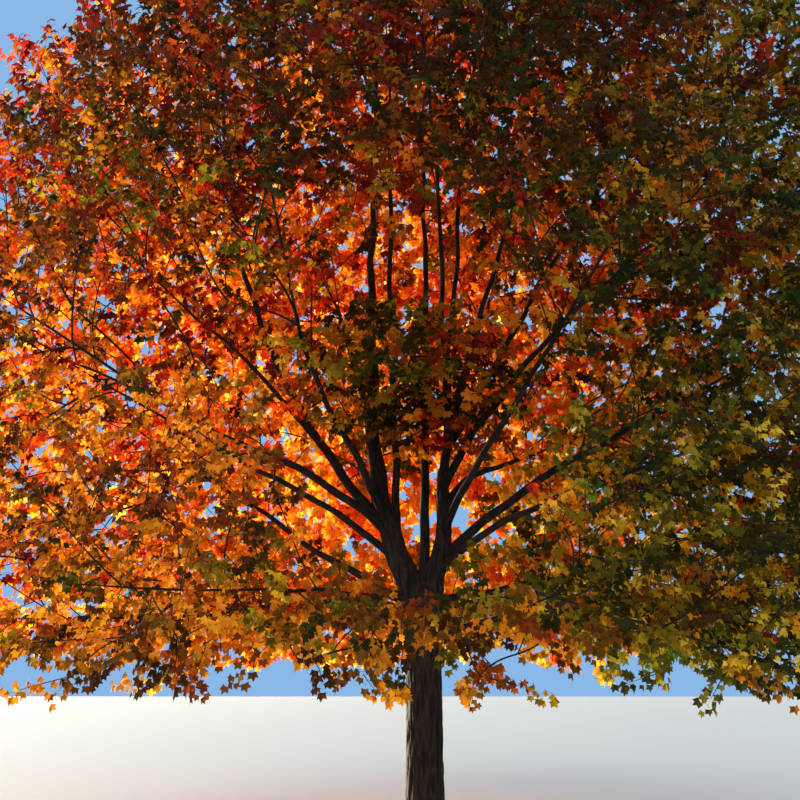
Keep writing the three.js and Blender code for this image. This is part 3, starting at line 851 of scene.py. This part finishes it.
def leaf_arrays(feet, headings, facings, lobes, rng):
    """The blades and stalks of many leaves, as vertices and triangles."""
    vertices, faces = leaf_template(lobes)
    count = len(feet)
    droop = LEAF_DROOP + DROOP_RANGE * rng.random((count, 1))
    scale = at_distance(feet, SCALES)[:, None, None]
    size = LEAF_SIZE * scale * (LEAF_LEAST + LEAF_RANGE * rng.random((count, 1, 1)))
    reach = STALK_LENGTH * (STALK_LEAST + STALK_RANGE * rng.random((count, 1)))
    curl = CURL_LEAST + CURL_RANGE * rng.random((count, 1, 1))
    roots = feet + unit(headings + STALK_LIFT * UP) * reach
    way = unit(headings - droop * UP)
    facing = unit(facings - way * np.sum(facings * way, axis=1, keepdims=True))
    side = np.cross(way, facing)
    blade = side[:, None] * vertices[:, 0, None] + way[:, None] * vertices[:, 1, None]
    blade = blade + facing[:, None] * vertices[:, 2, None] * curl
    blade = roots[:, None] + blade * size
    stalk = feet[:, None] + side[:, None] * np.array([-0.5, 0.5])[:, None] * STALK_WIDTH
    points = np.concatenate([blade, stalk], axis=1)
    pattern = np.vstack([faces, [len(vertices), len(vertices) + 1, 0]])
    offsets = np.arange(count)[:, None, None] * points.shape[1]
    return points.reshape(-1, 3), (pattern[None] + offsets).reshape(-1, 3)


# Tints of the leaves, from the reddest to the greenest: of each a dark copy with painted shade, a
# plain one and a bright copy with painted light
PAINTED_LIGHT_STEPS = ["dark", "plain", "bright"]
TINTS = {
    "leaf_crimson": (0x561008, 0x90200E, 0xC83416),
    "leaf_red": (0x82200A, 0xC63C0E, 0xF4601A),
    "leaf_orange": (0x90420A, 0xE2720E, 0xFFA82A),
    "leaf_bronze": (0x4E2E0A, 0x84500C, 0xC07C18),
    "leaf_amber": (0x80500A, 0xD0820C, 0xFBAC22),
    "leaf_yellow": (0x8A6E0E, 0xD2A61C, 0xFAD648),
    "leaf_olive": (0x38360A, 0x665D0E, 0xA8961E),
    "leaf_green": (0x26360E, 0x425614, 0x708424),
}

# Zones of the crown: middle, spread, and the share of each tint there. The tints are the leaves' own
# autumn colours and partly painted shade and light: the darker bronze and olive lean to the near side
# at -Y, the brighter orange, red and yellow to the far side
ZONES = [
    ((-4.2, -2.0, 8.8), 1.2, {"leaf_orange": 6, "leaf_red": 3, "leaf_amber": 3}),
    ((-3.6, 0.5, 9.3), 1.8, {"leaf_red": 2, "leaf_orange": 7, "leaf_amber": 3, "leaf_bronze": 1}),
    ((-2.5, -3.0, 7.5), 1.7, {"leaf_bronze": 8, "leaf_olive": 2, "leaf_orange": 2, "leaf_red": 2}),
    ((-4.7, -0.9, 7.4), 1.5, {"leaf_crimson": 6, "leaf_red": 5, "leaf_bronze": 1, "leaf_orange": 1}),
    ((-3.3, -3.0, 5.4), 1.5, {"leaf_bronze": 5, "leaf_red": 3, "leaf_orange": 3, "leaf_crimson": 1}),
    ((-4.0, 0.0, 4.4), 1.5, {"leaf_red": 2, "leaf_orange": 6, "leaf_amber": 2, "leaf_bronze": 1}),
    ((-2.7, -3.0, 3.4), 1.3, {"leaf_bronze": 6, "leaf_amber": 4, "leaf_orange": 3, "leaf_olive": 3}),
    ((-2.2, -3.4, 2.1), 1.5, {"leaf_amber": 7, "leaf_bronze": 4, "leaf_orange": 3, "leaf_yellow": 1}),
    ((-0.3, -4.4, 2.1), 0.8, {"leaf_amber": 7, "leaf_bronze": 2, "leaf_orange": 2, "leaf_olive": 1}),
    ((1.4, -2.6, 3.0), 1.1, {"leaf_olive": 9, "leaf_green": 1, "leaf_yellow": 2}),
    ((-1.0, 3.0, 6.5), 2.8, {"leaf_orange": 7, "leaf_red": 4, "leaf_yellow": 1, "leaf_amber": 3}),
    ((-0.6, 3.5, 4.0), 2.0, {"leaf_orange": 6, "leaf_yellow": 2, "leaf_amber": 3, "leaf_red": 2}),
    ((2.3, 2.2, 2.6), 1.4, {"leaf_yellow": 5, "leaf_olive": 4, "leaf_amber": 3}),
    ((2.4, 1.6, 7.6), 1.4, {"leaf_red": 5, "leaf_orange": 5, "leaf_yellow": 1}),
    ((-0.2, -1.0, 5.1), 1.1, {"leaf_bronze": 6, "leaf_olive": 6, "leaf_orange": 1}),
    ((0.0, -3.6, 6.6), 1.7, {"leaf_bronze": 6, "leaf_olive": 6, "leaf_orange": 1}),
    ((0.3, -2.6, 8.6), 1.8, {"leaf_bronze": 7, "leaf_olive": 3, "leaf_orange": 4, "leaf_red": 2}),
    ((0.5, 0.5, 11.0), 2.0, {"leaf_red": 3, "leaf_orange": 5, "leaf_bronze": 2}),
    ((4.2, -0.5, 8.6), 1.7, {"leaf_yellow": 6, "leaf_olive": 4, "leaf_amber": 3}),
    ((1.9, -1.4, 9.2), 1.4, {"leaf_bronze": 4, "leaf_orange": 4, "leaf_red": 3, "leaf_olive": 2}),
    ((3.0, -2.0, 5.6), 1.6, {"leaf_olive": 8, "leaf_green": 1, "leaf_bronze": 3, "leaf_yellow": 2}),
    ((4.0, 1.0, 5.0), 1.8, {"leaf_olive": 4, "leaf_yellow": 6, "leaf_red": 2, "leaf_amber": 2}),
    ((2.4, -3.2, 2.8), 1.5, {"leaf_olive": 9, "leaf_green": 2, "leaf_yellow": 2}),
    ((1.8, -3.8, 1.6), 0.8, {"leaf_amber": 3, "leaf_yellow": 2, "leaf_olive": 6, "leaf_bronze": 1}),
    ((3.8, 2.6, 2.8), 2.0, {"leaf_green": 3, "leaf_olive": 3, "leaf_yellow": 4}),
    ((-3.0, 3.4, 2.8), 2.0, {"leaf_amber": 4, "leaf_orange": 4, "leaf_yellow": 2}),
]

# Sprays that are close together are alike, in flat patches
PATCH_SIZE = 1.15
PATCH_FLATNESS = 2.0
PATCH_LIKENESS = 0.85  # how much of a spray's tint is its patch's: the rest is its own
NOISE_SPREAD = 0.27
LAYER_STEP = 100  # how far apart the patches of tint and those of painted light and shade are read in the noise
FAINTEST_ZONE = 1e-9  # so that each zone counts a little however far it is

# Painted light and shade: a leaf's level of it is its place's, which rises to the far side and
# downwards, with its patch's, its spray's and its own stray. Leaves take the dark copy (painted shade),
# the plain one or the bright copy (painted light) by thirds of it.
PAINTED_LIGHT_LEVEL = 0.74
PAINTED_LIGHT_SLOPE = (0.0, 0.075, -0.035)
PATCH_STRAY = 0.28
SPRAY_STRAY = 0.14
LEAF_STRAY = 0.16


def patch(place, layer):
    """A level that neighbouring sprays share, with a mean of 0 and a spread of about 1."""
    x, y, z = place
    where = Vector((x, y, PATCH_FLATNESS * z)) / PATCH_SIZE
    return noise.noise(where + Vector((0, 0, LAYER_STEP * layer))) / NOISE_SPREAD


def tint_of(place, rng):
    """The tint of a spray, dealt by its place in the crown."""
    weights = np.zeros(len(TINTS))
    for middle, spread, shares in ZONES:
        near = math.exp(-np.sum((place - middle) ** 2) / (2 * spread**2)) + FAINTEST_ZONE
        for tint, share in shares.items():
            weights[list(TINTS).index(tint)] += near * share / sum(shares.values())
    own = math.sqrt(1 - PATCH_LIKENESS**2) * rng.standard_normal()
    level = math.erf((PATCH_LIKENESS * patch(place, 0) + own) / math.sqrt(2))
    return int(np.searchsorted(np.cumsum(weights) / weights.sum(), (1 + level) / 2))


def painted_light_of(place, rng):
    """The painted light and shade of a spray, dealt by its place in the crown, with random stray."""
    stray = PATCH_STRAY * patch(place, 1) + SPRAY_STRAY * rng.standard_normal()
    return PAINTED_LIGHT_LEVEL + float(place @ PAINTED_LIGHT_SLOPE) + stray


# Materials


def linear(colour):
    channels = [((colour >> shift) & 255) / 255 for shift in (16, 8, 0)]
    return [c / 12.92 if c <= 0.04045 else ((c + 0.055) / 1.055) ** 2.4 for c in channels] + [1.0]


class Value:
    """A shader socket that stands in a Python expression."""

    def __init__(self, finish, socket):
        self.finish = finish
        self.socket = socket

    def math(self, operation, first, second):
        return self.finish.node("ShaderNodeMath", {"operation": operation}, {0: first, 1: second})

    def __add__(self, other):
        return self.math("ADD", self, other)

    __radd__ = __add__

    def __sub__(self, other):
        return self.math("SUBTRACT", self, other)

    def __rsub__(self, other):
        return self.math("SUBTRACT", other, self)

    def __mul__(self, other):
        return self.math("MULTIPLY", self, other)

    __rmul__ = __mul__


class Finish:
    """A material under construction."""

    def __init__(self, name):
        self.material = bpy.data.materials.new(name)
        self.material.use_nodes = True
        self.material.node_tree.nodes.clear()

    def node(self, kind, settings=None, sockets=None, output=0):
        """A node's output, after its settings and then its sockets' values or links are set."""
        tree = self.material.node_tree
        made = tree.nodes.new(kind)
        for name, setting in (settings or {}).items():
            if name == "stops":
                points = made.color_ramp.elements
                for stop, (place, colour) in enumerate(setting):
                    point = points[stop] if stop < 2 else points.new(place)
                    point.position = place
                    point.color = linear(colour)
            else:
                setattr(made, name, setting)
        for name, value in (sockets or {}).items():
            if isinstance(value, Value):
                tree.links.new(value.socket, made.inputs[name])
            else:
                made.inputs[name].default_value = value
        return None if output is None else Value(self, made.outputs[output])

    def end(self, surface):
        self.node("ShaderNodeOutputMaterial", None, {"Surface": surface}, output=None)
        return self.material


# Barks: colours from furrow to ridge, in browner and paler patches, and the scales of the noises
BARK_STOPS = [(0.1, 0x0B0704), (0.42, 0x1D130C), (0.66, 0x3C2C1D), (0.9, 0x644D36)]
BARK_PATCH_STOPS = [(0.35, 0x5E4230), (0.65, 0x908270)]
BARK_PATCH_SCALE = 4.5
BARK_PATCH_STRENGTH = 0.5
BARK_ROUGHNESS = 0.96
BARK_POLISH = 0.14  # how much smoother its ridges are
FIBRE_SCALE = 110
FIBRE_STRETCH = (1, 1, 0.16)  # how fast the fibres vary across the grain and along it
RIDGE_SHARE = 0.34  # share of the light and dark that comes from the ridges: the rest is the fibres'
RIDGE_RELIEF = 0.5
RELIEF_STRENGTH = 0.55
RELIEF_DEPTH = 0.006
BRANCH_STOPS = [(0.3, 0x100A06), (0.7, 0x281C13)]
BRANCH_MOTTLE_SCALE = 14
BRANCH_ROUGHNESS = 0.8
TWIG_COLOUR = 0x160E08
TWIG_ROUGHNESS = 0.85


def bark_finish():
    """Furrowed bark: near black in its furrows, grey-brown on its ridges, in paler and browner patches."""
    finish = Finish("bark")
    grain = finish.node("ShaderNodeAttribute", {"attribute_name": "grain"}, output="Vector")
    height = finish.node("ShaderNodeAttribute", {"attribute_name": "ridge"}, output="Fac")
    along = finish.node("ShaderNodeVectorMath", {"operation": "MULTIPLY"}, {0: grain, 1: FIBRE_STRETCH})
    sockets = {"Vector": along, "Scale": FIBRE_SCALE, "Detail": 5}
    fibres = finish.node("ShaderNodeTexNoise", None, sockets)
    sockets = {"Vector": grain, "Scale": BARK_PATCH_SCALE, "Detail": 3}
    patches = finish.node("ShaderNodeTexNoise", None, sockets)
    light = height * RIDGE_SHARE + fibres * (1 - RIDGE_SHARE)
    bare = finish.node("ShaderNodeValToRGB", {"stops": BARK_STOPS}, {"Fac": light})
    tone = finish.node("ShaderNodeValToRGB", {"stops": BARK_PATCH_STOPS}, {"Fac": patches})
    blend = {"data_type": "RGBA", "blend_type": "SOFT_LIGHT"}
    sockets = {0: BARK_PATCH_STRENGTH, 6: bare, 7: tone}
    colour = finish.node("ShaderNodeMix", blend, sockets, output=2)
    relief = height * RIDGE_RELIEF + fibres
    sockets = {"Height": relief, "Strength": RELIEF_STRENGTH, "Distance": RELIEF_DEPTH}
    normal = finish.node("ShaderNodeBump", None, sockets)
    roughness = BARK_ROUGHNESS - light * BARK_POLISH
    sockets = {"Base Color": colour, "Roughness": roughness, "Normal": normal}
    return finish.end(finish.node("ShaderNodeBsdfPrincipled", None, sockets))


def branch_finish():
    """Younger bark, smooth and dark, with a little brown and grey in it."""
    finish = Finish("branch_bark")
    where = finish.node("ShaderNodeTexCoord", output="Object")
    sockets = {"Vector": where, "Scale": BRANCH_MOTTLE_SCALE, "Detail": 3}
    mottle = finish.node("ShaderNodeTexNoise", None, sockets)
    colour = finish.node("ShaderNodeValToRGB", {"stops": BRANCH_STOPS}, {"Fac": mottle})
    sockets = {"Base Color": colour, "Roughness": BRANCH_ROUGHNESS}
    return finish.end(finish.node("ShaderNodeBsdfPrincipled", None, sockets))


def plain_finish(name, colour, roughness):
    finish = Finish(name)
    sockets = {"Base Color": linear(colour), "Roughness": roughness}
    return finish.end(finish.node("ShaderNodeBsdfPrincipled", None, sockets))


LEAF_ROUGHNESS = 0.65
LEAF_GLOSS = 0.2
LEAF_THROUGH = 0.6  # share of the light that a leaf lets through


def leaf_finish(name, colour):
    """A thin dry leaf, lit from both sides."""
    finish = Finish(name)
    sockets = {"Base Color": linear(colour), "Roughness": LEAF_ROUGHNESS, "Specular IOR Level": LEAF_GLOSS}
    face = finish.node("ShaderNodeBsdfPrincipled", None, sockets)
    through = finish.node("ShaderNodeBsdfTranslucent", None, {"Color": linear(colour)})
    return finish.end(finish.node("ShaderNodeMixShader", None, {0: LEAF_THROUGH, 1: face, 2: through}))


# The tree's pieces


def place_piece(name, mesh, material, nodes):
    mesh.materials.append(material)
    piece = bpy.data.objects.new(name, mesh)
    bpy.context.scene.collection.objects.link(piece)
    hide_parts(*nodes)
    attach(piece, BODY)


def add_trunk_and_limbs(limbs):
    bark = bark_finish()
    place_piece("bark_trunk", trunk_bark(limbs), bark, ["trunk"])
    for limb in limbs.values():
        leader = limb.name in LEADERS
        start = limb.path.share_at_height(TRUNK_TOP - LEADER_OVERLAP) if leader else 0
        mesh = limb_bark(limb, start, LEADER_SIDES if leader else LIMB_SIDES, RING_SPACING)
        place_piece("bark_" + limb.name, mesh, bark, [limb.name])


def add_twigs(woods, names):
    branches, twigs = [], []
    for wood in woods:
        thick, thin = twig_parts(wood)
        branches += thick
        twigs += thin
    place_piece("branches", joined_mesh("branches", branches, True), branch_finish(), names)
    bark = plain_finish("twig_bark", TWIG_COLOUR, TWIG_ROUGHNESS)
    place_piece("twigs", joined_mesh("twigs", twigs, True), bark, names)


def add_leaves(woods, masses):
    """Leaves in pieces, one for each tint and each of its copies: dark with painted shade, plain, and
    bright with painted light. The tints are dealt out by spray.
    """
    rng = np.random.default_rng(SEED)
    feet, headings, facings, tints, painted_level = [], [], [], [], []
    for wood in woods:
        own_feet, own_headings, own_facings, sprays = spray_leaves(wood, rng)
        tips = [wood.places[line[-1]] for line in wood.twigs]
        feet.append(own_feet)
        headings.append(own_headings)
        facings.append(own_facings)
        tints.append(np.array([tint_of(tip, rng) for tip in tips])[sprays])
        painted_level.append(np.array([painted_light_of(tip, rng) for tip in tips])[sprays])
    feet = np.vstack(feet)
    headings = np.vstack(headings)
    facings = np.vstack(facings)
    tints = np.concatenate(tints)
    # each leaf's level of painted light and shade picks the dark copy (painted shade), the plain one or
    # the bright copy (painted light)
    painted_level = np.concatenate(painted_level) + LEAF_STRAY * rng.standard_normal(len(feet))
    shades = np.clip(np.floor(painted_level * len(PAINTED_LIGHT_STEPS)), 0, len(PAINTED_LIGHT_STEPS) - 1)
    five = rng.random(len(feet)) < at_distance(feet, FIVE_LOBED)
    for number, (tint, colours) in enumerate(TINTS.items()):
        nodes = [mass.name for mass in masses if mass.tint == tint]
        for shade, colour in enumerate(colours):
            parts = []
            for lobes, lobed in ((FIVE_LOBES, five), (THREE_LOBES, ~five)):
                own = lobed & (tints == number) & (shades == shade)
                parts.append(leaf_arrays(feet[own], headings[own], facings[own], lobes, rng))
            # pieces named dark and bright hold the copies with painted shade and painted light
            name = tint.replace("leaf", "leaves") + "_" + PAINTED_LIGHT_STEPS[shade]
            place_piece(name, joined_mesh(name, parts, False), leaf_finish(name, colour), nodes)


# Studio

FLOOR_HALF = 900.0
FLOOR_COLOUR = 0xC0BEB9
FLOOR_ROUGHNESS = 0.95
CAMERA_CLIMB = 18.26
LENS = 40.2
FILM_WIDTH = 36
AIR_COLOUR = (0.32, 0.6, 1.0, 1.0)
AIR_STRENGTH = 0.8

# Lamps: where each shines from, its power, its softness in degrees and its colour
LAMPS = {
    "key": ((-0.96, 1.0, 0.11), 16.0, 10, (1.0, 0.85, 0.58)),
    "fill": ((-0.3, -1.0, 0.9), 1.6, 50, (1.0, 0.86, 0.6)),
}


def add_studio():
    shape = bmesh.new()
    bmesh.ops.create_grid(shape, x_segments=1, y_segments=1, size=FLOOR_HALF)
    mesh = bpy.data.meshes.new("floor")
    shape.to_mesh(mesh)
    shape.free()
    mesh.materials.append(plain_finish("floor", FLOOR_COLOUR, FLOOR_ROUGHNESS))
    floor = bpy.data.objects.new("floor", mesh)
    bpy.context.scene.collection.objects.link(floor)

    air = bpy.data.worlds.new("air")
    air.use_nodes = True
    background = air.node_tree.nodes["Background"]
    background.inputs["Color"].default_value = AIR_COLOUR
    background.inputs["Strength"].default_value = AIR_STRENGTH
    bpy.context.scene.world = air

    for name, (side, power, softness, colour) in LAMPS.items():
        sun = bpy.data.lights.new(name, "SUN")
        sun.energy = power
        sun.angle = math.radians(softness)
        sun.color = colour
        lamp = bpy.data.objects.new(name, sun)
        lamp.rotation_euler = Vector(side).to_track_quat("Z", "Y").to_euler()
        bpy.context.scene.collection.objects.link(lamp)

    lens = bpy.data.cameras.new("camera")
    lens.lens = LENS
    lens.sensor_width = FILM_WIDTH
    camera = bpy.data.objects.new("camera", lens)
    camera.location = EYE
    camera.rotation_euler = (math.radians(90 + CAMERA_CLIMB), 0, 0)
    bpy.context.scene.collection.objects.link(camera)
    bpy.context.scene.camera = camera
    bpy.context.scene.view_settings.view_transform = "Standard"


limbs = make_limbs()
masses = make_masses(limbs)
woods = [grow(mass, masses, SEED + SEED_STEP * i) for i, mass in enumerate(masses)]
add_trunk_and_limbs(limbs)
add_twigs(woods, [mass.name for mass in masses])
add_leaves(woods, masses)
add_studio()
